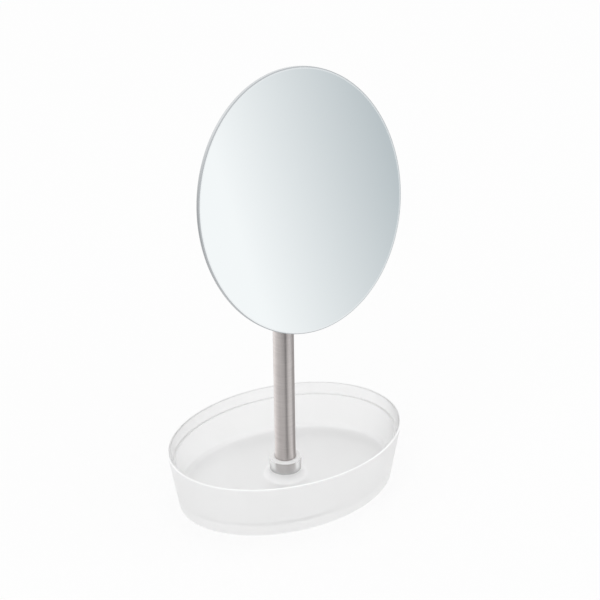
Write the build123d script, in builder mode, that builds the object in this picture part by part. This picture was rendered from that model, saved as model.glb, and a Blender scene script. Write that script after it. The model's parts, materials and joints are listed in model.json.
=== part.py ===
from build123d import *
import os
from math import cos, radians, sin

os.makedirs("parts", exist_ok=True)

# Oval tray, moulded with drafted walls
tray_length = 191.5
tray_width = 143.0
tray_height = 46.5
wall_lean = 8.2  # how far the outer wall comes in between rim and table
rim_wall = 2.4
rim_round = 0.9
ledge_depth = 8.6  # from the rim down to the step inside
ledge_width = 2.0
ledge_round = 0.6
floor_wall = 3.0  # wall beside the floor
floor_thickness = 3.0
floor_fillet = 4.0
foot_height = 8.4  # from the table to the floor's underside
foot_width = 3.4
foot_round = 1.8
level_tolerance = 0.01  # for finding edges at a height

# Post and the clear collar that holds its foot
tube_diameter = 16.0
tube_wall = 1.0
tube_length = 224.3
tube_chamfer = 0.3
plug_chamfer = 0.5
collar_height = 16.1
collar_wall = 4.15
collar_base = 4.3
collar_lip = 1.0  # rounding of the top edge
flare_width = 5.6  # also the radius of the foot's hollow curve
flare_edge = 0.6
spigot_diameter = 10.0
spigot_relief = 0.4  # the washer clamps the floor before it meets the spigot

# Screw joint under the tray
screw_diameter = 5.0
screw_head_diameter = 9.5
screw_head_height = 2.4
screw_head_round = 1.2
screw_recess_width = 1.1
screw_recess_length = 5.0
screw_recess_depth = 1.3
screw_grip = 12.0  # length inside the plug
screw_chamfer = 0.6
washer_diameter = 22.0
washer_thickness = 1.2
foot_plug_length = 20.0

# Friction hinge behind the glass
head_plug_length = 18.0
shoulder_height = 2.5
shoulder_chamfer = 0.6
pivot_rise = 11.8  # pivot above the shoulder
knuckle_width = 8.0
knuckle_radius = 7.0
knuckle_root = 13.0
friction_washer_thickness = 0.6
friction_washer_diameter = 12.0
ear_thickness = 3.0
ear_radius = 7.0
ear_root = 27.0
ear_reach = 22.4  # pivot to the back of the bracket's plate
ear_fillet = 2.0
bolt_diameter = 4.0
bolt_head_diameter = 7.6
bolt_head_height = 2.6
bolt_head_round = 0.85
bolt_socket_flats = 2.5
bolt_socket_depth = 1.4
bolt_end = 1.0  # thread left standing past the nut
bolt_chamfer = 0.5
nut_flats = 7.0
nut_height = 3.2
spring_washer_diameter = 9.0
spring_washer_thickness = 0.6
spring_washer_rise = 0.4

# Mirror
glass_width = 170.0
glass_height = 200.0
glass_thickness = 4.0
glass_arris = 0.7
mirror_lean = 12.7  # degrees the mirror leans back in its rest position
plate_width = 54.0
plate_height = 64.0
plate_thickness = 3.0
plate_chamfer = 1.0
pad_inset = 1.5
pad_thickness = 1.0

# Clearances
seat_gap = 0.05  # round pieces pushed into each other
running_gap = 0.05  # hinge faces and the bolt in its knuckle
hole_gap = 0.25  # screw through a plain hole

floor_top = foot_height + floor_thickness
ledge_height = tray_height - ledge_depth
tube_radius = tube_diameter / 2
tube_bore_radius = tube_radius - tube_wall
plug_radius = tube_bore_radius - seat_gap
tube_bottom = floor_top + collar_base
tube_top = tube_bottom + tube_length
shoulder_top = tube_top + shoulder_height
pivot_height = shoulder_top + pivot_rise
ear_inner = knuckle_width / 2 + running_gap + friction_washer_thickness
ear_outer = ear_inner + ear_thickness
bolt_hole_radius = bolt_diameter / 2 + running_gap
pad_back = ear_reach + plate_thickness
glass_back = pad_back + pad_thickness

# The mirror head's own plane: origin on the pivot, z out of the glass, y up along it
lean = radians(mirror_lean)
face_normal = (0, -cos(lean), sin(lean))
head_plane = Plane(origin=(0, 0, pivot_height), x_dir=(1, 0, 0), z_dir=face_normal)
forward = Axis(head_plane.origin, face_normal)
# The hinge's plane: origin on the pivot, z along the bolt, x towards the glass
hinge_plane = Plane(origin=(0, 0, pivot_height), x_dir=face_normal, z_dir=(1, 0, 0))


def wall_inset(height):
    """Distance of the outer wall inside the rim's outline at a height."""
    return wall_lean * (1 - height / tray_height)


# Tray: outer form, then the basin below the step, the wider mouth above it and the hollow foot
with BuildPart() as tray:
    for height in (0, tray_height):
        with BuildSketch(Plane.XY.offset(height)):
            inset = wall_inset(height)
            Ellipse(tray_length / 2 - inset, tray_width / 2 - inset)
    loft(ruled=True)
    for height, wall in ((floor_top, floor_wall), (ledge_height, rim_wall + ledge_width)):
        with BuildSketch(Plane.XY.offset(height)):
            inset = wall_inset(height) + wall
            Ellipse(tray_length / 2 - inset, tray_width / 2 - inset)
    loft(ruled=True, mode=Mode.SUBTRACT)
    floor_low, floor_high = floor_top - level_tolerance, floor_top + level_tolerance
    basin_edge = tray.edges().filter_by_position(Axis.Z, floor_low, floor_high)
    fillet(basin_edge, floor_fillet)
    for height in (ledge_height, tray_height):
        with BuildSketch(Plane.XY.offset(height)):
            inset = wall_inset(height) + rim_wall
            Ellipse(tray_length / 2 - inset, tray_width / 2 - inset)
    loft(ruled=True, mode=Mode.SUBTRACT)
    ledge_low, ledge_high = ledge_height - level_tolerance, ledge_height + level_tolerance
    ledge_edges = tray.edges().filter_by_position(Axis.Z, ledge_low, ledge_high)
    fillet(ledge_edges.sort_by(Edge.length)[0], ledge_round)
    rim_edges = tray.faces().sort_by(Axis.Z)[-1].edges()
    fillet(rim_edges, rim_round)
    foot_edge = tray.faces().sort_by(Axis.Z)[0].edges()
    fillet(foot_edge, foot_round)
    with BuildSketch():
        inset = wall_inset(0) + foot_width
        Ellipse(tray_length / 2 - inset, tray_width / 2 - inset)
    extrude(amount=foot_height, mode=Mode.SUBTRACT)
    Hole(spigot_diameter / 2 + seat_gap)

# Clear collar: cup for the tube, flared foot, spigot that centres it in the tray's floor
collar_radius = tube_radius + seat_gap + collar_wall
flare_radius = collar_radius + flare_width
with BuildPart() as post_collar:
    with BuildSketch(Plane.XZ):
        with BuildLine():
            Polyline(
                (spigot_diameter / 2, floor_top),
                (flare_radius, floor_top),
                (flare_radius, floor_top + flare_edge),
            )
            flare_top = floor_top + flare_edge + flare_width
            RadiusArc((flare_radius, floor_top + flare_edge), (collar_radius, flare_top), flare_width)
            collar_top = floor_top + collar_height
            Polyline(
                (collar_radius, flare_top),
                (collar_radius, collar_top),
                (tube_radius + seat_gap, collar_top),
                (tube_radius + seat_gap, tube_bottom),
                (screw_diameter / 2 + hole_gap, tube_bottom),
                (screw_diameter / 2 + hole_gap, foot_height + spigot_relief),
                (spigot_diameter / 2, foot_height + spigot_relief),
                (spigot_diameter / 2, floor_top),
            )
        make_face()
    revolve(axis=Axis.Z)
    lip_edge = post_collar.faces().sort_by(Axis.Z)[-1].edges()
    fillet(lip_edge, collar_lip)

with BuildPart() as post_tube:
    with BuildSketch(Plane.XY.offset(tube_bottom)):
        Circle(tube_radius)
        Circle(tube_bore_radius, mode=Mode.SUBTRACT)
    extrude(amount=tube_length)
    chamfer(post_tube.edges().filter_by(GeomType.CIRCLE), tube_chamfer)

# Tapped plug in the tube's foot
with BuildPart() as foot_plug:
    with BuildSketch(Plane.XY.offset(tube_bottom)):
        Circle(plug_radius)
        Circle(screw_diameter / 2 + seat_gap, mode=Mode.SUBTRACT)
    extrude(amount=foot_plug_length)
    chamfer(foot_plug.edges().group_by(Axis.Z)[-1].sort_by(Edge.length)[-1], plug_chamfer)

# Screw and washer from below, inside the hollow foot
washer_bottom = foot_height - washer_thickness
with BuildPart() as base_washer:
    with BuildSketch(Plane.XY.offset(washer_bottom)):
        Circle(washer_diameter / 2)
        Circle(screw_diameter / 2 + hole_gap, mode=Mode.SUBTRACT)
    extrude(amount=washer_thickness)

screw_end = tube_bottom + screw_grip
with BuildPart() as base_screw:
    with BuildSketch(Plane.XY.offset(washer_bottom)):
        Circle(screw_head_diameter / 2)
    extrude(amount=-screw_head_height)
    head_edge = base_screw.edges().group_by(Axis.Z)[0]
    fillet(head_edge, screw_head_round)
    with BuildSketch(Plane.XY.offset(washer_bottom - screw_head_height)):
        Rectangle(screw_recess_length, screw_recess_width)
        Rectangle(screw_recess_width, screw_recess_length)
    extrude(amount=screw_recess_depth, mode=Mode.SUBTRACT)
    with BuildSketch(Plane.XY.offset(washer_bottom)):
        Circle(screw_diameter / 2)
    extrude(amount=screw_end - washer_bottom)
    chamfer(base_screw.edges().group_by(Axis.Z)[-1], screw_chamfer)

# Hinge head of the post: plug, shoulder on the tube and the flat knuckle above it
with BuildPart() as post_head:
    with BuildSketch(Plane.XY.offset(tube_top)):
        Circle(plug_radius)
    extrude(amount=-head_plug_length)
    chamfer(post_head.edges().group_by(Axis.Z)[0], plug_chamfer)
    with BuildSketch(Plane.XY.offset(tube_top)):
        Circle(tube_radius)
    extrude(amount=shoulder_height)
    chamfer(post_head.edges().group_by(Axis.Z)[-1], shoulder_chamfer)
    with BuildSketch(Plane.YZ):
        with Locations((0, pivot_height)):
            Circle(knuckle_radius)
        with Locations((0, shoulder_top)):
            Rectangle(knuckle_root, shoulder_chamfer, align=(Align.CENTER, Align.MAX))
        make_hull()
    extrude(amount=knuckle_width / 2, both=True)
    with Locations(hinge_plane):
        Hole(bolt_hole_radius)

# Bracket: oval plate behind the glass, two ears reaching back to the pivot
with BuildPart() as mirror_bracket:
    with BuildSketch(head_plane.offset(ear_reach)):
        Ellipse(plate_width / 2, plate_height / 2)
    extrude(amount=plate_thickness)
    back_face = mirror_bracket.faces().filter_by(head_plane).sort_by(forward)[0]
    chamfer(back_face.edges(), plate_chamfer)
    for side in (-1, 1):
        with BuildSketch(hinge_plane.offset(side * ear_inner)):
            Circle(ear_radius)
            with Locations((ear_reach + plate_chamfer, 0)):
                Rectangle(plate_chamfer, ear_root, align=(Align.MAX, Align.CENTER))
            make_hull()
        extrude(amount=side * ear_thickness)
    back_face = mirror_bracket.faces().filter_by(head_plane).sort_by(forward)[0]
    ear_feet = [edge for wire in back_face.inner_wires() for edge in wire.edges()]
    fillet(ear_feet, ear_fillet)
    with Locations(hinge_plane):
        Hole(bolt_hole_radius)

with BuildPart() as mounting_pad:
    with BuildSketch(head_plane.offset(pad_back)):
        Ellipse(plate_width / 2 - pad_inset, plate_height / 2 - pad_inset)
    extrude(amount=pad_thickness)

with BuildPart() as mirror_glass:
    with BuildSketch(head_plane.offset(glass_back)):
        Ellipse(glass_width / 2, glass_height / 2)
    extrude(amount=glass_thickness)
    chamfer(mirror_glass.edges().filter_by(GeomType.ELLIPSE), glass_arris)

# Hinge hardware along the bolt: head, ear, washer, knuckle, washer, ear, spring washer, nut
nut_seat = ear_outer + spring_washer_thickness + spring_washer_rise
with BuildPart() as pivot_bolt:
    with BuildSketch(hinge_plane.offset(-ear_outer)):
        Circle(bolt_head_diameter / 2)
    extrude(amount=-bolt_head_height)
    fillet(pivot_bolt.edges().group_by(Axis.X)[0], bolt_head_round)
    with BuildSketch(hinge_plane.offset(-ear_outer - bolt_head_height)):
        RegularPolygon(bolt_socket_flats / 2, 6, major_radius=False)
    extrude(amount=bolt_socket_depth, mode=Mode.SUBTRACT)
    with BuildSketch(hinge_plane.offset(-ear_outer)):
        Circle(bolt_diameter / 2)
    extrude(amount=ear_outer + nut_seat + nut_height + bolt_end)
    chamfer(pivot_bolt.edges().group_by(Axis.X)[-1], bolt_chamfer)

with BuildPart() as pivot_nut:
    with BuildSketch(hinge_plane.offset(nut_seat)):
        RegularPolygon(nut_flats / 2, 6, major_radius=False)
        Circle(bolt_diameter / 2 + seat_gap, mode=Mode.SUBTRACT)
    extrude(amount=nut_height)

with BuildPart() as spring_washer:
    with BuildSketch(Plane.XZ):
        with BuildLine():
            Polyline(
                (ear_outer + spring_washer_rise, pivot_height + bolt_hole_radius),
                (ear_outer, pivot_height + spring_washer_diameter / 2),
                (ear_outer + spring_washer_thickness, pivot_height + spring_washer_diameter / 2),
                (nut_seat, pivot_height + bolt_hole_radius),
                close=True,
            )
        make_face()
    revolve(axis=Axis((0, 0, pivot_height), (1, 0, 0)))

with BuildPart() as friction_washers:
    for side in (-1, 1):
        with BuildSketch(hinge_plane.offset(side * (ear_inner - friction_washer_thickness))):
            Circle(friction_washer_diameter / 2)
            Circle(bolt_hole_radius, mode=Mode.SUBTRACT)
        extrude(amount=side * friction_washer_thickness)

for name, piece in (
    ("tray", tray),
    ("post_collar", post_collar),
    ("post_tube", post_tube),
    ("foot_plug", foot_plug),
    ("base_washer", base_washer),
    ("base_screw", base_screw),
    ("post_head", post_head),
    ("mirror_bracket", mirror_bracket),
    ("mounting_pad", mounting_pad),
    ("mirror_glass", mirror_glass),
    ("pivot_bolt", pivot_bolt),
    ("pivot_nut", pivot_nut),
    ("spring_washer", spring_washer),
    ("friction_washers", friction_washers),
):
    piece.part.label = name
    export_step(piece.part, f"parts/{name}.step")
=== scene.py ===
import json
import math
import bpy
import numpy as np
from mathutils import Matrix, Vector


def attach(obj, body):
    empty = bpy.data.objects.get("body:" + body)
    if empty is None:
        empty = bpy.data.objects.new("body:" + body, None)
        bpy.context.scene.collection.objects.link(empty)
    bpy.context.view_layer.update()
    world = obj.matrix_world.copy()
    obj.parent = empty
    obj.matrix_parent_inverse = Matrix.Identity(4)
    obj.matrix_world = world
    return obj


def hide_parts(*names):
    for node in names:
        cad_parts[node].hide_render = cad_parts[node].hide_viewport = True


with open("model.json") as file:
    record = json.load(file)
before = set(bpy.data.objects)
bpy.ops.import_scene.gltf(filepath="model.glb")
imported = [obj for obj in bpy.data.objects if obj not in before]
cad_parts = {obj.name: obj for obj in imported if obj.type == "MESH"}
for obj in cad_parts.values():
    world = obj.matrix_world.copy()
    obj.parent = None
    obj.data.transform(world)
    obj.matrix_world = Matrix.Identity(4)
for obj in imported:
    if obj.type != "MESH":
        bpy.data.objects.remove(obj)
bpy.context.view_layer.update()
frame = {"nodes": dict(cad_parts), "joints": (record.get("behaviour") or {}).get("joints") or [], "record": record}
mm = 0.001
pivot = np.array(frame["joints"][0]["pos_m"])
print("frame loaded:", len(frame["nodes"]), "nodes")


# sRGB hex to the linear colour that Blender's sockets take
def linear(hexColour):
    srgb = np.array([int(hexColour[i:i + 2], 16) for i in (1, 3, 5)]) / 255
    low, high = srgb / 12.92, ((srgb + 0.055) / 1.055) ** 2.4
    return (*np.where(srgb <= 0.04045, low, high), 1.0)


# adds one node: settings are its properties, its socket values or a ramp's stops, and links join its sockets
# to other nodes' outputs
def addNode(tree, kind, settings=None, links=None):
    node = tree.nodes.new(kind)
    for key, value in (settings or {}).items():
        if key == "stops":  # grey levels, each with its place from 0 to 1
            stops = node.color_ramp.elements
            while len(stops) < len(value):
                stops.new(0.5)
            for stop, (place, level) in zip(stops, value):
                stop.position = place
                stop.color = (level, level, level, 1)
        elif isinstance(key, str) and hasattr(node, key):
            setattr(node, key, value)
        else:
            node.inputs[key].default_value = value
    for key, source in (links or {}).items():
        tree.links.new(source, node.inputs[key])
    return node


# a material without nodes, and its tree
def newMaterial(name):
    material = bpy.data.materials.new(name)
    material.use_nodes = True
    material.node_tree.nodes.clear()
    return material, material.node_tree


# noise scale that makes one lump about this many millimetres wide
def perSize(sizeMm):
    return 1 / (sizeMm * mm)


# corners are (across, up, radius) in mm: each radius becomes an arc that touches both sides of its corner
def roundedOutline(corners, arcSteps, closed=True):
    sharp = np.array([corner[:2] for corner in corners], float)
    parts = []
    for i, (*_, radius) in enumerate(corners):
        ends = not closed and i in (0, len(corners) - 1)
        if radius == 0 or ends:
            parts.append(sharp[i:i + 1])
            continue
        back, ahead = sharp[i - 1] - sharp[i], sharp[(i + 1) % len(sharp)] - sharp[i]
        back, ahead = back / np.linalg.norm(back), ahead / np.linalg.norm(ahead)
        half = math.acos(np.clip(back @ ahead, -1, 1)) / 2
        centre = sharp[i] + (back + ahead) / np.linalg.norm(back + ahead) * radius / math.sin(half)
        first = sharp[i] + back * radius / math.tan(half) - centre
        last = sharp[i] + ahead * radius / math.tan(half) - centre
        turn = math.pi - 2 * half
        t = np.linspace(0, 1, arcSteps + 1)[:, None]
        parts.append(centre + (np.sin((1 - t) * turn) * first + np.sin(t * turn) * last) / math.sin(turn))
    return np.concatenate(parts)


# puts points on the long straight stretches, so that no step is longer than the one given
def evenSteps(outline, longest, closed=True):
    ends = np.roll(outline, -1, axis=0) if closed else outline[1:]
    parts = []
    for start, end in zip(outline, ends):
        count = max(1, math.ceil(np.linalg.norm(end - start) / longest))
        parts.append(start + (end - start) * np.arange(count)[:, None] / count)
    if not closed:
        parts.append(outline[-1:])
    return np.concatenate(parts)


# an outline carried round: ring i is the ellipse (wide cos t, deep sin t) at its height
def carriedRound(wide, deep, height, turns, poles=False):
    t = np.arange(turns) * 2 * np.pi / turns
    points = np.stack([
        wide[:, None] * np.cos(t),
        deep[:, None] * np.sin(t),
        np.broadcast_to(height[:, None], (len(height), turns)),
    ], axis=2)
    return gridMesh(points, poles)


# vertices and faces of a grid (rings, turns, 3) that closes round its second direction. The rings close too,
# or with poles the first and last ring are one point each, with a fan of triangles
def gridMesh(points, poles=False):
    rings, turns = points.shape[:2]
    ring, turn = np.meshgrid(np.arange(rings - 1 if poles else rings), np.arange(turns), indexing="ij")
    ringNext, turnNext = (ring + 1) % rings, (turn + 1) % turns
    quads = np.stack([
        ring * turns + turn, ring * turns + turnNext,
        ringNext * turns + turnNext, ringNext * turns + turn,
    ], axis=2).reshape(-1, 4)
    if not poles:
        return points.reshape(-1, 3), quads.tolist()
    quads = quads - turns + 1  # counted with a single point in place of the first ring
    last = (rings - 2) * turns + 1
    first = np.stack([np.zeros(turns, int), quads[:turns, 2], quads[:turns, 3]], axis=1)
    end = np.stack([quads[-turns:, 0], quads[-turns:, 1], np.full(turns, last)], axis=1)
    vertices = np.concatenate([points[0, :1], points[1:-1].reshape(-1, 3), points[-1, :1]])
    return vertices, first.tolist() + quads[turns:-turns].tolist() + end.tolist()


# a mesh object at the origin with its place in its vertices, on its body and in its finish slot. Bands pick
# one of the materials for each face, and flat faces are left unsmoothed
def makePiece(name, points, faces, body, materials, node, bands=None, flat=None):
    mesh = bpy.data.meshes.new(name)
    mesh.from_pydata((points * mm).tolist(), [], faces)
    bands = np.zeros(len(faces), np.int32) if bands is None else np.asarray(bands, np.int32)
    smooth = np.ones(len(faces), bool) if flat is None else ~np.asarray(flat, bool)
    mesh.polygons.foreach_set("material_index", bands)
    mesh.polygons.foreach_set("use_smooth", smooth)
    for material in materials:
        mesh.materials.append(material)
    mesh.update()
    piece = bpy.data.objects.new(name, mesh)
    bpy.context.scene.collection.objects.link(piece)
    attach(piece, body)
    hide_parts(node)
    print("piece", name, len(mesh.vertices), "vertices")


# Polystyrene moulded in a spark-eroded cavity: the fine texture outside scatters light into an even white
# haze, while light that comes from inside the wall leaves it with little loss. The grain is drawn coarser
# than the real one, which would not show
frostedSide = dict(
    colour="#fefefe", shade="#fcfcfc", cloudMm=28, grainMm=0.45, grainDepthMm=0.012,
    roughLow=0.26, roughHigh=0.32, ior=1.5, milk=0.8, milkInside=0.0, through=0.2,
)
# The same piece against the smoother core: the step and the floor's rounded edge show as soft lines
coreSide = dict(
    colour="#fefefe", shade="#fcfcfc", cloudMm=28, grainMm=0.45, grainDepthMm=0.006,
    roughLow=0.26, roughHigh=0.32, ior=1.5, milk=0.16, milkInside=0.0, through=0.1,
)
# The top of the step, painted lighter: more haze lightens the shaded line there, so that it stays faint
ledgePaintedLighter = {**coreSide, "milk": 0.4}
# The rim's and the foot's outer edges, painted bright: a whiter, hazier copy of the plastic stands in for the
# light led along inside the wall that leaves there, so they are the tray's brightest lines
rimPaintedBright = dict(
    colour="#ffffff", shade="#fefefe", cloudMm=28, grainMm=0.45, grainDepthMm=0.006,
    roughLow=0.2, roughHigh=0.26, ior=1.5, milk=0.98, milkInside=0.05, through=0.0,
)


# clear plastic mixed with haze: milk is the haze's share from outside, milkInside the one from inside the
# wall, and through the part of the haze that is let through instead of sent back
def mouldedPolystyrene(name, d, grainStrength=0.25):
    material, tree = newMaterial(name)
    shader = addNode(tree, "ShaderNodeBsdfPrincipled", {"IOR": d["ior"], "Transmission Weight": 1.0})
    place = addNode(tree, "ShaderNodeTexCoord").outputs["Object"]
    cloud = addNode(tree, "ShaderNodeTexNoise", {"Scale": perSize(d["cloudMm"])}, {"Vector": place})
    grain = addNode(tree, "ShaderNodeTexNoise", {"Scale": perSize(d["grainMm"])}, {"Vector": place})
    tint = addNode(tree, "ShaderNodeMix", {
        "data_type": "RGBA", 6: linear(d["colour"]), 7: linear(d["shade"]),
    }, {0: cloud.outputs["Fac"]})
    rough = addNode(tree, "ShaderNodeMapRange", {
        "To Min": d["roughLow"], "To Max": d["roughHigh"],
    }, {"Value": cloud.outputs["Fac"]})
    bump = addNode(tree, "ShaderNodeBump", {
        "Strength": grainStrength, "Distance": d["grainDepthMm"] * mm,
    }, {"Height": grain.outputs["Fac"]})
    tree.links.new(tint.outputs[2], shader.inputs["Base Color"])
    tree.links.new(rough.outputs["Result"], shader.inputs["Roughness"])
    tree.links.new(bump.outputs["Normal"], shader.inputs["Normal"])
    surface = {"Color": tint.outputs[2], "Normal": bump.outputs["Normal"]}
    sentBack = addNode(tree, "ShaderNodeBsdfDiffuse", None, surface)
    letThrough = addNode(tree, "ShaderNodeBsdfTranslucent", None, surface)
    haze = addNode(tree, "ShaderNodeMixShader", {0: d["through"]}, {
        1: sentBack.outputs[0], 2: letThrough.outputs[0],
    })
    inside = addNode(tree, "ShaderNodeNewGeometry").outputs["Backfacing"]
    milk = addNode(tree, "ShaderNodeMapRange", {
        "To Min": d["milk"], "To Max": d["milkInside"],
    }, {"Value": inside})
    # painted light: the haze, and with it the white, grows towards the foot's edge
    if "paintedMilkOut" in d:  # haze that grows with the distance from the post's axis
        flat = addNode(tree, "ShaderNodeMapping", {"Scale": (1, 1, 0)}, {"Vector": place})
        reach = addNode(tree, "ShaderNodeVectorMath", {"operation": "LENGTH"}, {0: flat.outputs[0]})
        outward = addNode(tree, "ShaderNodeMapRange", {
            "From Min": d["reachLow"] * mm, "From Max": d["reachHigh"] * mm,
            "To Min": d["milk"], "To Max": d["paintedMilkOut"],
        }, {"Value": reach.outputs["Value"]})
        tree.links.new(outward.outputs["Result"], milk.inputs["To Min"])
    mix = addNode(tree, "ShaderNodeMixShader", None, {
        0: milk.outputs["Result"], 1: shader.outputs[0], 2: haze.outputs[0],
    })
    addNode(tree, "ShaderNodeOutputMaterial", None, {"Surface": mix.outputs[0]})
    return material


# Oval tray, sizes in mm: the wall leans in towards the foot and has a step inside below the rim
trayDims = dict(
    length=191.5, width=143.0, height=46.5, lean=8.2,
    rimWall=2.4, rimRound=0.9, ledgeDepth=8.6, ledgeWidth=2.0, ledgeRound=0.6,
    floorWall=3.0, floorTop=11.4, floorFillet=4.0, holeRadius=5.05,
    footHeight=8.4, footWidth=3.4, footRound=1.8, edgeRound=0.3,
    turns=384, arcSteps=7, longest=7.0,
)


# the wall's outline at the long end, carried round an ellipse whose half axes differ by the same amount
# from rim to floor edge, and by less towards the middle, so that the hole there is round
def buildTray(d):
    outer = d["length"] / 2
    inset = lambda z: d["lean"] * (1 - z / d["height"])
    ledge = d["height"] - d["ledgeDepth"]
    basin = outer - inset(d["floorTop"]) - d["floorWall"]
    foot = outer - d["lean"]
    corners = [
        (foot, 0, d["footRound"]),
        (outer, d["height"], d["rimRound"]),
        (outer - d["rimWall"], d["height"], d["rimRound"]),
        (outer - inset(ledge) - d["rimWall"], ledge, d["edgeRound"]),
        (outer - inset(ledge) - d["rimWall"] - d["ledgeWidth"], ledge, d["ledgeRound"]),
        (basin, d["floorTop"], d["floorFillet"]),
        (d["holeRadius"], d["floorTop"], 0),
        (d["holeRadius"], d["footHeight"], 0),
        (foot - d["footWidth"], d["footHeight"], d["edgeRound"]),
        (foot - d["footWidth"], 0, d["edgeRound"]),
    ]
    outline = evenSteps(roundedOutline(corners, d["arcSteps"]), d["longest"])
    wide, height = outline.T
    share = np.clip((wide - d["holeRadius"]) / (basin - d["floorFillet"] - d["holeRadius"]), 0, 1)
    deep = wide - (d["length"] - d["width"]) / 2 * share
    points, faces = carriedRound(wide, deep, height, d["turns"])
    middle, level = (wide + np.roll(wide, -1)) / 2, (height + np.roll(height, -1)) / 2
    # which material each ring of faces has: outside, core side, edges painted bright or step painted lighter
    side = np.where(middle < outer - inset(level) - d["rimWall"] / 2, 1, 0)
    # the rim and foot bands, painted bright with the whiter, hazier copy
    edges = (level > d["height"] - d["rimRound"]) | (level < d["footRound"])
    side[edges & (side == 0)] = 2
    # the step's band, painted lighter over its shade
    side[(abs(level - ledge) < d["ledgeRound"] / 2) & (side == 1)] = 3
    makePiece(
        "tray_shell", points, faces, "base",
        [
            mouldedPolystyrene("polystyrene, frosted cavity side", frostedSide),
            mouldedPolystyrene("polystyrene, smooth core side", coreSide),
            mouldedPolystyrene("polystyrene, edges painted bright", rimPaintedBright),
            mouldedPolystyrene("polystyrene, step of the core side, painted lighter", ledgePaintedLighter),
        ],
        "tray", np.repeat(side, d["turns"]),
    )


buildTray(trayDims)


# Clear polystyrene, moulded and polished: the tube shows through it, a little veiled
clearBody = dict(
    colour="#fefefe", shade="#fbfcfc", cloudMm=9, grainMm=1.6, grainDepthMm=0.004,
    roughLow=0.05, roughHigh=0.1, ior=1.5, milk=0.26, milkInside=0.0, through=0.1,
)
# Its lip and foot, painted white: a hazier, whiter copy of the plastic stands in for light led along the wall that
# leaves there, painted whiter towards the foot's edge
clearEndsPaintedWhite = dict(
    colour="#ffffff", shade="#fefefe", cloudMm=9, grainMm=1.6, grainDepthMm=0.004,
    roughLow=0.08, roughHigh=0.14, ior=1.5, milk=0.86, milkInside=0.0, through=0.03,
    paintedMilkOut=0.98, reachLow=12.2, reachHigh=15.8,
)
# Its underside and seat, left matt: they throw the light back up
clearUnder = dict(
    colour="#ffffff", shade="#fefefe", cloudMm=9, grainMm=0.6, grainDepthMm=0.01,
    roughLow=0.3, roughHigh=0.4, ior=1.5, milk=1.0, milkInside=1.0, through=0.0,
)


# Collar round the post's foot: cup, flared foot and the spigot through the tray's floor
collarDims = dict(
    bore=8.05, radius=12.2, flare=17.8, floorTop=11.43, flareEdge=0.06, flareRound=5.55, edgeRound=0.02,
    top=27.5, lip=1.0, windowLow=18.0, seat=15.7, spigot=5.0, spigotEnd=8.8, screwHole=2.75,
    turns=128, arcSteps=8, longest=3.0, hair=0.01,
)


# the wall's outline carried round the post's axis
def buildCollar(d):
    flareTop = d["floorTop"] + d["flareEdge"]
    corners = [
        (d["spigot"], d["floorTop"], 0),
        (d["flare"], d["floorTop"], d["edgeRound"]),
        (d["flare"], flareTop, d["edgeRound"]),
        (d["radius"], flareTop, d["flareRound"]),
        (d["radius"], d["top"], d["lip"]),
        (d["bore"], d["top"], d["lip"]),
        (d["bore"], d["seat"], 0),
        (d["screwHole"], d["seat"], 0),
        (d["screwHole"], d["spigotEnd"], 0),
        (d["spigot"], d["spigotEnd"], d["edgeRound"]),
    ]
    outline = evenSteps(roundedOutline(corners, d["arcSteps"]), d["longest"])
    wide, height = outline.T
    points, faces = carriedRound(wide, wide, height, d["turns"])
    middle, level = (wide + np.roll(wide, -1)) / 2, (height + np.roll(height, -1)) / 2
    # hazy above and below the clear window, where the white rings are painted, matt on the seat and underneath
    ends = (level > d["top"] - d["lip"]) | (level < d["windowLow"]) & (middle > d["bore"] + d["hair"])
    under = (level < d["floorTop"] + d["hair"]) | (middle < d["bore"] - d["hair"])
    makePiece(
        "collar_clear", points, faces, "base",
        [
            mouldedPolystyrene("polystyrene, clear and polished", clearBody),
            mouldedPolystyrene("polystyrene, clear, ends painted white", clearEndsPaintedWhite),
            mouldedPolystyrene("polystyrene, clear, matt underside", clearUnder),
        ],
        "post_collar", np.repeat(np.where(under, 2, ends), d["turns"]),
    )


buildCollar(collarDims)


# Stainless steel tube, ground while it turns: fine lines round it, so that reflections smear along its
# length. The lines are drawn about three times as wide as real ones, which would not show
brushed = dict(
    colour="#e6e0de", streak="#cfc9c7", lineMm=0.7, lineLengthMm=14,
    roughLow=0.42, roughHigh=0.5, lineDepthMm=0.004, lineStrength=0.3, lineDetail=3.0,
    anisotropy=1.0, turned=0.25,
)


def brushedStainless():
    material, tree = newMaterial("stainless steel, brushed round the tube")
    shader = addNode(tree, "ShaderNodeBsdfPrincipled", {
        "Metallic": 1.0,
        "Anisotropic": brushed["anisotropy"],
        "Anisotropic Rotation": brushed["turned"],  # a quarter turn, so that it spreads along the tube
    })
    place = addNode(tree, "ShaderNodeTexCoord").outputs["Object"]
    stretch = addNode(tree, "ShaderNodeMapping", {
        "Scale": (1, 1, brushed["lineLengthMm"] / brushed["lineMm"]),
    }, {"Vector": place})
    lines = addNode(tree, "ShaderNodeTexNoise", {
        "Scale": perSize(brushed["lineLengthMm"]), "Detail": brushed["lineDetail"],
    }, {"Vector": stretch.outputs["Vector"]})
    tint = addNode(tree, "ShaderNodeMix", {
        "data_type": "RGBA", 6: linear(brushed["colour"]), 7: linear(brushed["streak"]),
    }, {0: lines.outputs["Fac"]})
    rough = addNode(tree, "ShaderNodeMapRange", {
        "To Min": brushed["roughLow"], "To Max": brushed["roughHigh"],
    }, {"Value": lines.outputs["Fac"]})
    bump = addNode(tree, "ShaderNodeBump", {
        "Strength": brushed["lineStrength"], "Distance": brushed["lineDepthMm"] * mm,
    }, {"Height": lines.outputs["Fac"]})
    tree.links.new(tint.outputs[2], shader.inputs["Base Color"])
    tree.links.new(rough.outputs["Result"], shader.inputs["Roughness"])
    tree.links.new(bump.outputs["Normal"], shader.inputs["Normal"])
    addNode(tree, "ShaderNodeOutputMaterial", None, {"Surface": shader.outputs[0]})
    return material


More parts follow.
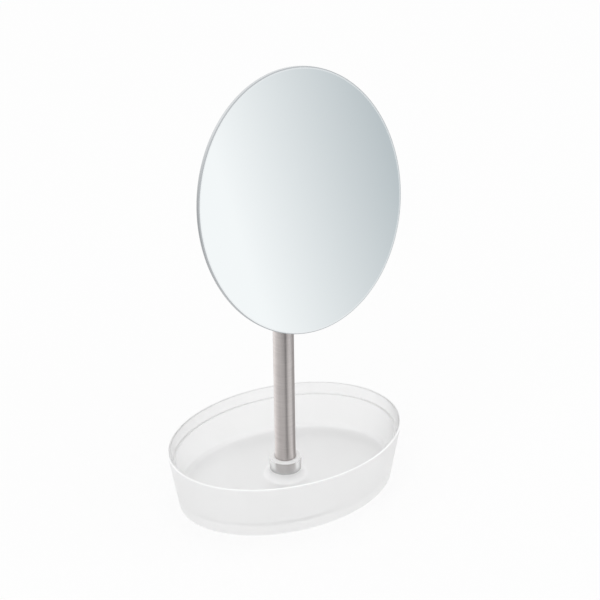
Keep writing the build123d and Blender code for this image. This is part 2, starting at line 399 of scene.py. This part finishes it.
# Post, sizes in mm
tubeDims = dict(
    radius=8.0, bore=7.0, bottom=15.7, top=240.0, edgeRound=0.3, turns=128, arcSteps=4, longest=6.0,
)


# the tube's wall carried round its axis
def buildTube(d):
    corners = [
        (d["bore"], d["bottom"], d["edgeRound"]),
        (d["radius"], d["bottom"], d["edgeRound"]),
        (d["radius"], d["top"], d["edgeRound"]),
        (d["bore"], d["top"], d["edgeRound"]),
    ]
    outline = evenSteps(roundedOutline(corners, d["arcSteps"]), d["longest"])
    wide, height = outline.T
    points, faces = carriedRound(wide, wide, height, d["turns"])
    makePiece("post_brushed", points, faces, "base", [brushedStainless()], "post_tube")


buildTube(tubeDims)


# Float glass silvered on the back: a clean cold reflection with next to no roughness
silver = dict(colour="#eef2f3", roughLow=0.0, roughHigh=0.012, smearMm=45)


def silveredGlass():
    material, tree = newMaterial("float glass, silvered")
    shader = addNode(tree, "ShaderNodeBsdfPrincipled", {
        "Base Color": linear(silver["colour"]), "Metallic": 1.0,
    })
    place = addNode(tree, "ShaderNodeTexCoord").outputs["Object"]
    smear = addNode(tree, "ShaderNodeTexNoise", {"Scale": perSize(silver["smearMm"])}, {"Vector": place})
    rough = addNode(tree, "ShaderNodeMapRange", {
        "To Min": silver["roughLow"], "To Max": silver["roughHigh"],
    }, {"Value": smear.outputs["Fac"]})
    tree.links.new(rough.outputs["Result"], shader.inputs["Roughness"])
    addNode(tree, "ShaderNodeOutputMaterial", None, {"Surface": shader.outputs[0]})
    return material


# Ground and polished glass edge: grey from the depth of glass behind it, with painted light: paler towards the
# top, where the upper edge takes in more light
glassEdge = dict(
    colour="#8f9396", shade="#7f8487", grindMm=1.2, roughLow=0.12, roughHigh=0.3, ior=1.52,
    paintedPaleTop="#d2d5d7", paintedPaleFromMm=270.0, paintedPaleToMm=335.0,
)
# Its arris, finely ground: matt, so that it draws a thin grey outline round the face
glassArris = dict(colour="#b9bdc0", shade="#adb1b4", grindMm=0.8, roughLow=0.3, roughHigh=0.45, ior=1.52)
# Border of the face, painted as a pale strip: a painted reflection and highlight of the edge that shows through
# the glass
glassBorderPainted = dict(colour="#eff2f3", shade="#e8ecee", grindMm=2.5, roughLow=0.05, roughHigh=0.12, ior=1.52)
# Protective lacquer, curtain-coated on the silver: even grey with a slight orange peel
backPaint = dict(colour="#8d9092", shade="#84878a", grindMm=3.5, roughLow=0.38, roughHigh=0.5, ior=1.5)


# one coat of a colour that varies with a noise of the given size
def variedCoat(name, d, metallic=0.0, bumpMm=0.0, bumpStrength=0.4, detail=4.0):
    material, tree = newMaterial(name)
    shader = addNode(tree, "ShaderNodeBsdfPrincipled", {"IOR": d["ior"], "Metallic": metallic})
    place = addNode(tree, "ShaderNodeTexCoord").outputs["Object"]
    noise = addNode(tree, "ShaderNodeTexNoise", {
        "Scale": perSize(d["grindMm"]), "Detail": detail,
    }, {"Vector": place})
    tint = addNode(tree, "ShaderNodeMix", {
        "data_type": "RGBA", 6: linear(d["colour"]), 7: linear(d["shade"]),
    }, {0: noise.outputs["Fac"]})
    rough = addNode(tree, "ShaderNodeMapRange", {
        "To Min": d["roughLow"], "To Max": d["roughHigh"],
    }, {"Value": noise.outputs["Fac"]})
    colour = tint.outputs[2]
    # painted light: the colour turns paler with the height at rest, for the light the upper edge takes in
    if "paintedPaleTop" in d:  # paler with the height at rest
        up = addNode(tree, "ShaderNodeSeparateXYZ", None, {0: place}).outputs["Z"]
        height = addNode(tree, "ShaderNodeMapRange", {
            "From Min": d["paintedPaleFromMm"] * mm, "From Max": d["paintedPaleToMm"] * mm,
        }, {"Value": up})
        colour = addNode(tree, "ShaderNodeMix", {"data_type": "RGBA", 7: linear(d["paintedPaleTop"])}, {
            0: height.outputs["Result"], 6: colour,
        }).outputs[2]
    tree.links.new(colour, shader.inputs["Base Color"])
    tree.links.new(rough.outputs["Result"], shader.inputs["Roughness"])
    if bumpMm:
        bump = addNode(tree, "ShaderNodeBump", {
            "Strength": bumpStrength, "Distance": bumpMm * mm,
        }, {"Height": noise.outputs["Fac"]})
        tree.links.new(bump.outputs["Normal"], shader.inputs["Normal"])
    addNode(tree, "ShaderNodeOutputMaterial", None, {"Surface": shader.outputs[0]})
    return material


# Oval mirror plate on the hinge's head, distances along its face measured from the pivot
glassDims = dict(
    width=170.0, height=200.0, back=26.4, thickness=4.0, arris=0.7, border=1.0, lean=12.7,
    turns=256, arcSteps=5, longest=12.0, hair=1e-6,
)


# from the head's own axes, across, up along the glass and out of its face, to the rest position
def headToWorld(points, lean):
    a = math.radians(lean)
    axes = np.array([(1, 0, 0), (0, math.sin(a), math.cos(a)), (0, -math.cos(a), math.sin(a))])
    return points @ axes + pivot / mm


# the plate's outline from the middle of the face round the edge to the middle of the back,
# carried round an ellipse whose half axes differ by the same amount near the edge
def buildGlass(d):
    edge, front = d["width"] / 2, d["back"] + d["thickness"]
    flatEdge = edge - d["arris"]
    corners = [
        (0, front, 0),
        (flatEdge - d["border"], front, 0),
        (edge, front, d["arris"]),
        (edge, d["back"], d["arris"]),
        (0, d["back"], 0),
    ]
    outline = evenSteps(roundedOutline(corners, d["arcSteps"], closed=False), d["longest"], closed=False)
    wide, out = outline[::-1].T
    deep = wide + (d["height"] - d["width"]) / 2 * np.clip(wide / (flatEdge - d["border"]), 0, 1)
    points, faces = carriedRound(wide, deep, out, d["turns"], poles=True)
    middle, reach = (out[1:] + out[:-1]) / 2, (wide[1:] + wide[:-1]) / 2
    isFront, isBack = middle > front - d["hair"], middle < d["back"] + d["hair"]
    isEdge = middle < front - d["arris"] + d["hair"]
    # which material each ring of faces has: face, border (painted pale strip), edge (painted paler at the top),
    # back or arris
    face = np.where(reach < flatEdge - d["border"], 0, 1)
    band = np.where(isBack, 3, np.where(isEdge, 2, np.where(isFront, face, 4)))
    makePiece(
        "mirror_plate", headToWorld(points, d["lean"]), faces, "mirror_head",
        [
            silveredGlass(),
            variedCoat("glass border, painted pale strip over the ground edge", glassBorderPainted, metallic=0.5),
            variedCoat("glass edge, ground and polished, top painted paler", glassEdge),
            variedCoat("mirror back lacquer, curtain coated", backPaint, bumpMm=0.02),
            variedCoat("glass arris, finely ground", glassArris),
        ],
        "mirror_glass", np.repeat(band, d["turns"]), np.repeat(isFront | isBack, d["turns"]),
    )


buildGlass(glassDims)


# Zinc die casting, tumbled and satin plated: soft grey reflections, fine grain
castMetal = dict(colour="#b4b5b6", shade="#a4a5a7", grindMm=0.5, roughLow=0.3, roughHigh=0.42, ior=1.5)
# Bright zinc plate on steel: cooler and sharper
plated = dict(colour="#c3c6c9", shade="#aeb2b6", grindMm=0.8, roughLow=0.18, roughHigh=0.32, ior=1.5)
# Natural nylon, moulded: warm white, a little waxy
nylon = dict(colour="#e9e6dc", shade="#e1ddd1", grindMm=1.5, roughLow=0.36, roughHigh=0.5, ior=1.53)
# Closed-cell foam tape: dull, with small cells at its cut edge
foam = dict(colour="#dcdcd8", shade="#c9c9c5", grindMm=0.4, roughLow=0.8, roughHigh=0.95, ior=1.45)

finishes = {
    "cast_metal": variedCoat("zinc die casting, satin plated", castMetal, metallic=1.0, bumpMm=0.01),
    "fastener_steel": variedCoat("steel, bright zinc plated", plated, metallic=1.0, bumpMm=0.004),
    "nylon": variedCoat("nylon, moulded", nylon, bumpMm=0.01),
    "adhesive_foam": variedCoat("foam tape, closed cell", foam, bumpMm=0.06),
}
for subpart in frame["record"]["subparts"]:
    finish = finishes.get(subpart["material_slot"])
    if finish:
        for slot in frame["nodes"][subpart["node"]].material_slots:
            slot.material = finish
print("finishes on the nodes that stay:", len(finishes))

# Hinge bolt and nut, lengths in mm along the bolt from the pivot
boltDims = dict(
    top=-10.25, seat=-7.65, headRadius=3.8, headRound=0.85, socketFlats=2.5, socketDepth=1.4, bevel=0.15,
    radius=2.0, end=12.85, chamfer=0.5, threadStart=11.4, pitch=0.7, threadDepth=0.38,
    turns=96, arcSteps=6, threadRings=24,
)
nutDims = dict(
    seat=8.65, height=3.2, flats=7.0, faceRadius=3.4, hole=2.05, bevel=0.3,
    coneDegrees=30, coneDepth=0.5, coneSteps=6, turns=96,
)


# a hexagon's side lies half its flats from the axis, and further by one over the cosine away from its middle
def hexRadius(flats, turn):
    return flats / 2 / np.cos(turn % (np.pi / 3) - np.pi / 6)


# rings along the bolt's axis, each a place and its distance from the axis, one for all turns or one for each
def alongBolt(name, rings, turn, poles, node):
    along, radius = np.stack([np.broadcast_arrays(*ring, turn)[:2] for ring in rings], axis=1)
    points, faces = gridMesh(np.stack([along, -radius * np.sin(turn), radius * np.cos(turn)], axis=2), poles)
    makePiece(
        name, headToWorld(points, glassDims["lean"]), faces, "mirror_head",
        [finishes["fastener_steel"]], node, flat=np.ones(len(faces)),
    )


# button head with a hexagon socket, and a thread whose radius rises and falls once in each pitch
def buildBolt(d):
    turn = np.arange(d["turns"]) * 2 * np.pi / d["turns"]
    socket, bottom = hexRadius(d["socketFlats"], turn), d["top"] + d["socketDepth"]
    arc = np.linspace(0, np.pi / 2, d["arcSteps"] + 1)
    dome = zip(
        d["top"] + d["headRound"] * (1 - np.cos(arc)),
        d["headRadius"] - d["headRound"] * (1 - np.sin(arc)),
    )
    place = np.linspace(d["threadStart"], d["end"], d["threadRings"])
    wave = np.abs(2 * ((place[:, None] / d["pitch"] - turn / (2 * np.pi)) % 1) - 1)
    limit = d["radius"] - d["chamfer"] + d["end"] - place[:, None]
    thread = np.minimum(d["radius"] - d["threadDepth"] * wave, limit)
    alongBolt("hinge_bolt", [
        (bottom, 0), (bottom, socket), (d["top"] + d["bevel"], socket), (d["top"], socket + d["bevel"]),
        *dome, (d["seat"], d["headRadius"]), (d["seat"], d["radius"]), (d["threadStart"], d["radius"]),
        *zip(place, thread), (d["end"], 0),
    ], turn, True, "pivot_bolt")


# hexagon cut back at both ends by a cone
def buildNut(d):
    turn = np.arange(d["turns"]) * 2 * np.pi / d["turns"]
    cut = np.linspace(0, d["coneDepth"], d["coneSteps"])
    depth = np.concatenate([cut, d["height"] - cut[::-1]])
    cone = d["faceRadius"] + np.minimum(depth, d["height"] - depth) / math.tan(math.radians(d["coneDegrees"]))
    outside = np.minimum(hexRadius(d["flats"], turn), cone[:, None])
    mouth, inside = d["hole"] + d["bevel"], d["height"] - d["bevel"]
    alongBolt("hinge_nut", [
        (d["seat"] + d["bevel"], d["hole"]), (d["seat"], mouth), *zip(d["seat"] + depth, outside),
        (d["seat"] + d["height"], mouth), (d["seat"] + inside, d["hole"]),
    ], turn, False, "pivot_nut")


buildBolt(boltDims)
buildNut(nutDims)


# Camera of the photograph: a long lens, angles in degrees, sizes in mm
cameraView = dict(
    azimuth=-31.106, elevation=29.407, roll=-0.789, aim=(9.91, -8.65, 165.94), distance=2300.0,
    focalPixels=3071.5, imagePixels=600, sensor=36, clipMetres=(0.1, 30.0),
)


# camera axes from its angles: it looks along -back, and roll turns its sideways axis towards its up axis
def makeCamera(d):
    a, e, roll = (math.radians(d[key]) for key in ("azimuth", "elevation", "roll"))
    back = Vector((math.sin(a) * math.cos(e), -math.cos(a) * math.cos(e), math.sin(e)))
    level = Vector((math.cos(a), math.sin(a), 0))
    above = back.cross(level)
    side = level * math.cos(roll) + above * math.sin(roll)
    up = above * math.cos(roll) - level * math.sin(roll)
    data = bpy.data.cameras.new("photoCamera")
    data.sensor_width = d["sensor"]
    data.lens = d["focalPixels"] * d["sensor"] / d["imagePixels"]
    data.clip_start, data.clip_end = d["clipMetres"]
    camera = bpy.data.objects.new("photoCamera", data)
    place = (Vector(d["aim"]) + back * d["distance"]) * mm
    camera.matrix_world = Matrix.Translation(place) @ Matrix((side, up, back)).transposed().to_4x4()
    bpy.context.scene.collection.objects.link(camera)
    bpy.context.scene.camera = camera


makeCamera(cameraView)


# White studio: world and floor are white to the eye, in mirrors and through clear plastic
studio = dict(
    white="#ffffff", worldStrength=0.95, whiteStrength=1.0,
    floorColour="#f6f6f6", floorShare=0.8, floorMetres=40.0,
)


# one for rays from the camera, from shiny surfaces and through clear ones
def whiteRays(tree):
    path = addNode(tree, "ShaderNodeLightPath")
    seen = addNode(tree, "ShaderNodeMath", {"operation": "MAXIMUM"}, {
        0: path.outputs["Is Camera Ray"], 1: path.outputs["Is Glossy Ray"],
    })
    return addNode(tree, "ShaderNodeMath", {"operation": "MAXIMUM"}, {
        0: seen.outputs[0], 1: path.outputs["Is Transmission Ray"],
    }).outputs[0]


def makeWorld(d):
    world = bpy.data.worlds.new("studioWorld")
    bpy.context.scene.world = world
    world.use_nodes = True
    tree = world.node_tree
    tree.nodes.clear()
    colour = linear(d["white"])
    light = addNode(tree, "ShaderNodeBackground", {"Color": colour, "Strength": d["worldStrength"]})
    white = addNode(tree, "ShaderNodeBackground", {"Color": colour, "Strength": d["whiteStrength"]})
    mix = addNode(tree, "ShaderNodeMixShader", None, {
        0: whiteRays(tree), 1: light.outputs[0], 2: white.outputs[0],
    })
    addNode(tree, "ShaderNodeOutputWorld", None, {"Surface": mix.outputs[0]})


# corners and face of a flat rectangle round the origin
def rectangle(halfWide, halfDeep):
    signs = ((-1, -1), (1, -1), (1, 1), (-1, 1))
    return [(x * halfWide, y * halfDeep, 0) for x, y in signs], [(0, 1, 2, 3)]


# a sweep that shows its shadow faintly, because most of it shines white by itself
def makeFloor(d):
    points, faces = rectangle(d["floorMetres"] / 2, d["floorMetres"] / 2)
    mesh = bpy.data.meshes.new("studioFloor")
    mesh.from_pydata(points, [], faces)
    floor = bpy.data.objects.new("studioFloor", mesh)
    bpy.context.scene.collection.objects.link(floor)
    material, tree = newMaterial("studio floor, white sweep")
    lit = addNode(tree, "ShaderNodeBsdfDiffuse", {"Color": linear(d["floorColour"])})
    white = addNode(tree, "ShaderNodeEmission", {"Color": linear(d["white"]), "Strength": d["whiteStrength"]})
    share = addNode(tree, "ShaderNodeMath", {
        "operation": "MULTIPLY", 1: d["floorShare"],
    }, {0: whiteRays(tree)})
    mix = addNode(tree, "ShaderNodeMixShader", None, {
        0: share.outputs[0], 1: lit.outputs[0], 2: white.outputs[0],
    })
    addNode(tree, "ShaderNodeOutputMaterial", None, {"Surface": mix.outputs[0]})
    mesh.materials.append(material)


makeWorld(studio)
makeFloor(studio)

# Cards that only reflections show. The wall stands right of the camera, where the mirror looks: light falls
# off along it from white to a cool grey, and it fades out near its edges. Sizes in metres, fields as (place
# across, share of white), leaning a little
cardWall = dict(
    place=(0.413, -0.823, 0.177), across=(0.888, 0.460, 0), size=(1.5, 1.3), lean=0.065, fade=0.2,
    fields=[(-0.75, 0.0), (-0.32, 1.0), (-0.073, 1.0), (0.1, 0.0)],
    dark="#c3c9cc", bright="#ffffff", strength=1.05,
)


# a card seen by reflected rays alone, still without nodes
def makeCard(name, points, faces, matrix=Matrix()):
    mesh = bpy.data.meshes.new(name)
    mesh.from_pydata(points, [], faces)
    card = bpy.data.objects.new(name, mesh)
    card.matrix_world = matrix
    for ray in ("camera", "diffuse", "transmission", "volume_scatter", "shadow"):
        setattr(card, "visible_" + ray, False)
    bpy.context.scene.collection.objects.link(card)
    material, tree = newMaterial(name)
    mesh.materials.append(material)
    return tree


def makeWall(d):
    across, upward = Vector(d["across"]).normalized(), Vector((0, 0, 1))
    axes = Matrix((across, upward, across.cross(upward))).transposed().to_4x4()
    w, h = d["size"][0] / 2, d["size"][1] / 2
    tree = makeCard("card wall", *rectangle(w, h), Matrix.Translation(d["place"]) @ axes)
    place = addNode(tree, "ShaderNodeTexCoord").outputs["Object"]
    along = addNode(tree, "ShaderNodeVectorMath", {
        "operation": "DOT_PRODUCT", 1: (1, d["lean"], 0),
    }, {0: place})
    share = addNode(tree, "ShaderNodeMapRange", {
        "From Min": -w, "From Max": w,
    }, {"Value": along.outputs["Value"]})
    ramp = addNode(tree, "ShaderNodeValToRGB", {
        "stops": [((spot + w) / (2 * w), level) for spot, level in d["fields"]],
    }, {0: share.outputs["Result"]})
    tint = addNode(tree, "ShaderNodeMix", {
        "data_type": "RGBA", 6: linear(d["dark"]), 7: linear(d["bright"]),
    }, {0: ramp.outputs["Color"]})
    glow = addNode(tree, "ShaderNodeEmission", {"Strength": d["strength"]}, {"Color": tint.outputs[2]})
    # what is left of it at each distance from its middle, across and up
    fromMiddle = addNode(tree, "ShaderNodeVectorMath", {"operation": "ABSOLUTE"}, {0: place}).outputs[0]
    reach = addNode(tree, "ShaderNodeSeparateXYZ", None, {0: fromMiddle})
    left = [
        addNode(tree, "ShaderNodeMapRange", {
            "interpolation_type": "SMOOTHSTEP", "From Min": half, "From Max": half - d["fade"],
        }, {"Value": reach.outputs[axis]}).outputs["Result"]
        for axis, half in (("X", w), ("Y", h))
    ]
    shown = addNode(tree, "ShaderNodeMath", {"operation": "MULTIPLY"}, {0: left[0], 1: left[1]})
    clear = addNode(tree, "ShaderNodeBsdfTransparent")
    mix = addNode(tree, "ShaderNodeMixShader", None, {
        0: shown.outputs[0], 1: clear.outputs[0], 2: glow.outputs[0],
    })
    addNode(tree, "ShaderNodeOutputMaterial", None, {"Surface": mix.outputs[0]})


# The ring lies on the floor round the tray and turns up into a wall, and the lining lies in the tray: bright
# and dark fields by direction, for the bands along the tube. Metres, and degrees from -Y towards +X
cardRing = dict(
    reach=(1.7, 1.7, 0.1), rise=(1.3, 0.001, 0.001), turns=96, strength=1.0,
    fields=[
        (-180, 0.8), (-159, 1.4), (-121, 1.08), (-91, 0.84), (-78, 0.74), (-31, 0.66),
        (-21, 0.57), (-11, 0.2), (-5, 0.18), (5, 0.5), (19, 0.85), (39, 1.45),
        (49, 1.4), (64, 0.5), (109, 0.5), (150, 0.9), (180, 0.8),
    ],
)
# the lining's corners at the long end, as (distance from the post, height)
cardLining = dict(
    top=(0.0929, 0.0460), ledge=(0.0894, 0.0383), corner=(0.0820, 0.0118), inner=(0.0200, 0.0118),
    turns=96, strength=0.9,
)


# shines by direction on the side that faces the tube, and is not there from the other
def shineByDirection(tree, fields, strength):
    # the angle from -Y, as a share of a full turn from the back round to the back
    place = addNode(tree, "ShaderNodeTexCoord").outputs["Object"]
    turned = addNode(tree, "ShaderNodeMapping", {"Rotation": (0, 0, math.radians(90))}, {"Vector": place})
    angle = addNode(tree, "ShaderNodeTexGradient", {"gradient_type": "RADIAL"}, {"Vector": turned.outputs[0]})
    ramp = addNode(tree, "ShaderNodeValToRGB", {
        "stops": [((degrees + 180) / 360, level) for degrees, level in fields],
    }, {0: angle.outputs["Fac"]})
    glow = addNode(tree, "ShaderNodeEmission", {"Strength": strength}, {"Color": ramp.outputs["Color"]})
    clear = addNode(tree, "ShaderNodeBsdfTransparent")
    side = addNode(tree, "ShaderNodeNewGeometry").outputs["Backfacing"]
    mix = addNode(tree, "ShaderNodeMixShader", None, {
        0: side, 1: glow.outputs[0], 2: clear.outputs[0],
    })
    addNode(tree, "ShaderNodeOutputMaterial", None, {"Surface": mix.outputs[0]})


# an open band: its outline carried round without the faces that would close it
def makeBand(name, wide, deep, height, turns):
    points, faces = carriedRound(wide, deep, height, turns)
    return makeCard(name, points.tolist(), faces[:-turns])


def makeRing(d):
    reach, rise = np.array(d["reach"]), np.array(d["rise"])
    shineByDirection(makeBand("card ring", reach, reach, rise, d["turns"]), d["fields"], d["strength"])


# the tray's inside, a hair above it
def makeLining(d, tray, fields):
    wide, height = np.array([d[key] for key in ("top", "ledge", "corner", "inner")]).T
    share = np.clip((wide - wide[-1]) / (wide[-2] - wide[-1]), 0, 1)
    deep = wide - (tray["length"] - tray["width"]) / 2 * mm * share
    shineByDirection(makeBand("card lining", wide, deep, height, d["turns"]), fields, d["strength"])


makeWall(cardWall)
makeRing(cardRing)
makeLining(cardLining, trayDims, cardRing["fields"])

# Soft boxes: place and aim in metres, size in metres, power in watts
softBoxes = [
    dict(name="keyLeft", place=(-1.3, -0.9, 1.7), aim=(0, 0, 0.1), size=1.4, power=3),
    dict(name="fillRight", place=(1.6, -0.8, 1.3), aim=(0, 0, 0.15), size=1.2, power=1.2),
    dict(name="top", place=(0.1, 0.5, 2.0), aim=(0, 0, 0.1), size=1.2, power=1.5),
]
for box in softBoxes:
    data = bpy.data.lights.new(box["name"], "AREA")
    data.shape, data.size, data.energy = "SQUARE", box["size"], box["power"]
    lamp = bpy.data.objects.new(box["name"], data)
    lamp.location = box["place"]
    lamp.rotation_mode = "QUATERNION"
    lamp.rotation_quaternion = (Vector(box["aim"]) - Vector(box["place"])).to_track_quat("-Z", "Y")
    bpy.context.scene.collection.objects.link(lamp)

bpy.context.scene.view_settings.view_transform = "Standard"
# light is thrown about many times inside the clear collar and the frosted wall before it leaves them
lightPaths = dict(max_bounces=48, diffuse_bounces=24, glossy_bounces=32, transmission_bounces=48)
for limit, count in lightPaths.items():
    setattr(bpy.context.scene.cycles, limit, count)
print("stage ready")
